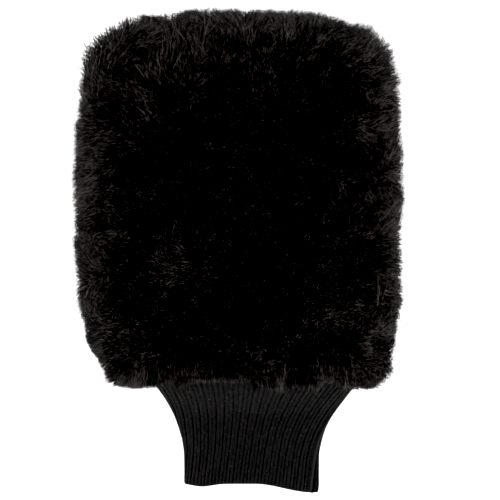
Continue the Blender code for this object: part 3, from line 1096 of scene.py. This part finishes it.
def thin_tube(mesh, path, radii, sides=6):
    """A closed tube through the points of path, extruded ring by ring."""
    path = [Vector(point) for point in path]
    up = Vector((0.0, 0.0, 1.0))
    made = bmesh.ops.create_circle(mesh, segments=sides, radius=1.0, cap_ends=True)["verts"]
    unit_ring = [vert.co.copy() for vert in made]
    rim = list({edge for vert in made for edge in vert.link_edges})
    for number, (point, radius) in enumerate(zip(path, radii)):
        if number:
            raised = bmesh.ops.extrude_edge_only(mesh, edges=rim)["geom"]
            rim = [item for item in raised if isinstance(item, bmesh.types.BMEdge)]
            # each new corner sits where an old one is, so the nearest old one gives its place on the ring
            new = [item for item in raised if isinstance(item, bmesh.types.BMVert)]
            order = [min(range(sides), key=lambda k: (old_places[k] - vert.co).length) for vert in new]
            made = [vert for _, vert in sorted(zip(order, new), key=lambda pair: pair[0])]
        before, after = path[max(number - 1, 0)], path[min(number + 1, len(path) - 1)]
        along = (after - before).normalized()
        across = along.cross(up if abs(along.z) < 0.9 else Vector((1.0, 0.0, 0.0))).normalized()
        other = across.cross(along)
        for vert, flat in zip(made, unit_ring):
            vert.co = point + (across * flat.x + other * flat.y) * float(radius)
        old_places = [vert.co.copy() for vert in made]
    bmesh.ops.edgenet_fill(mesh, edges=rim)


def loose_end(start):
    """Places along the thread's loose end, which curls away from start and comes down on the floor."""
    straight, curl = Vector((0.2, -0.5, 0.1)) * MM, Vector((0.05, 0.0, -0.028)) * MM
    places = [start + straight * step + curl * step**2 for step in range(TAIL_STEPS)]
    return [Vector((place.x, place.y, max(place.z, FLOOR_REST))) for place in places]


def make_side_seam():
    """The ridge, its stitches and the loose end of the thread, in one mesh."""
    mesh = bmesh.new()
    at_seam = np.array([0.0])
    parts = np.linspace(SEAM_TOP, SEAM_END, SEAM_STEPS)
    rows = [cuff_place(part, 0.0, at_seam) for part in parts]
    spots, ways = (np.concatenate(column) for column in zip(*rows))
    spots = spots + ways * RIDGE_LIFT
    ripple = 1 + 0.08 * np.sin(parts * 190)
    thin_tube(mesh, spots, RIDGE_RADIUS * ripple, sides=8)
    for number in range(STITCH_COUNT):
        share = (number + 0.5 + rng.uniform(-0.15, 0.15)) / STITCH_COUNT
        middle = SEAM_TOP + (SEAM_END - SEAM_TOP) * share
        stitch = []
        for turn in np.linspace(-1.0, 1.0, 5):
            spot, way = cuff_place(min(middle + 0.006 * turn, 1.0), 0.0, np.array([0.0062 * turn]))
            lift = (RIDGE_RADIUS + RIDGE_LIFT) * math.cos(turn * 1.35) + 0.02 * MM
            stitch.append(spot[0] + way[0] * lift)
        thin_tube(mesh, stitch, [STITCH_RADIUS] * 5)
    tail_radii = [STITCH_RADIUS * 1.1] * (TAIL_STEPS - 1) + [STITCH_RADIUS * 0.5]
    thin_tube(mesh, loose_end(Vector(spots[-1])), tail_radii)
    return finish_piece("cuff_side_seam", mesh, black_thread)


cuff_side_seam = make_side_seam()
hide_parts("cuff_side_seam_thread")
follow_cuff(cuff_side_seam)
print("side seam", len(cuff_side_seam.data.polygons), "faces")

# %% [markdown]
# ## What is under the pile
# The pile's roots are held by a knitted ground cloth, and the bag is lined with a smooth warp knit. Little of
# them shows, only down between parted locks and through the cuff's mouth, and their plain solids already have
# the right shape. So they stay, and only get their own finishes: crossing waves stand for the rows of loops.
# The ground cloth's colour is its own black, made darker still as painted shade at the foot of the pile.

# %% What is under the pile
# the ground cloth's colours are its own black made darker still, as painted shade at the foot of the pile
ground_cloth_with_painted_shade = cloth_material(
    "ground_cloth_with_painted_shade",
    waves=((1, 0, 0), (0, 1, 0)),
    pitch=1.1 * MM,
    dark=(0.0004, 0.0004, 0.0004),
    light=(0.0016, 0.0015, 0.0015),
    roughness=0.95,
    shine=0.05,
    depth=0.15 * MM,
)
lining_knit = cloth_material(
    "lining_knit",
    waves=((1, 0.35, 0), (-1, 0.35, 0)),
    pitch=0.7 * MM,
    dark=(0.0012, 0.0012, 0.0013),
    light=(0.0050, 0.0050, 0.0052),
    roughness=0.8,
    shine=0.10,
    depth=0.05 * MM,
)
for finish, node_names in (
    (ground_cloth_with_painted_shade, ("palm_ground_cloth", "back_ground_cloth")),
    (lining_knit, ("palm_lining", "back_lining")),
    (black_thread, ("shell_seam_thread", "lining_seam_thread", "cuff_join_thread")),
):
    for node_name in node_names:
        for material_slot in frame["nodes"][node_name].material_slots:
            material_slot.material = finish
        print(node_name, "is", finish.name)
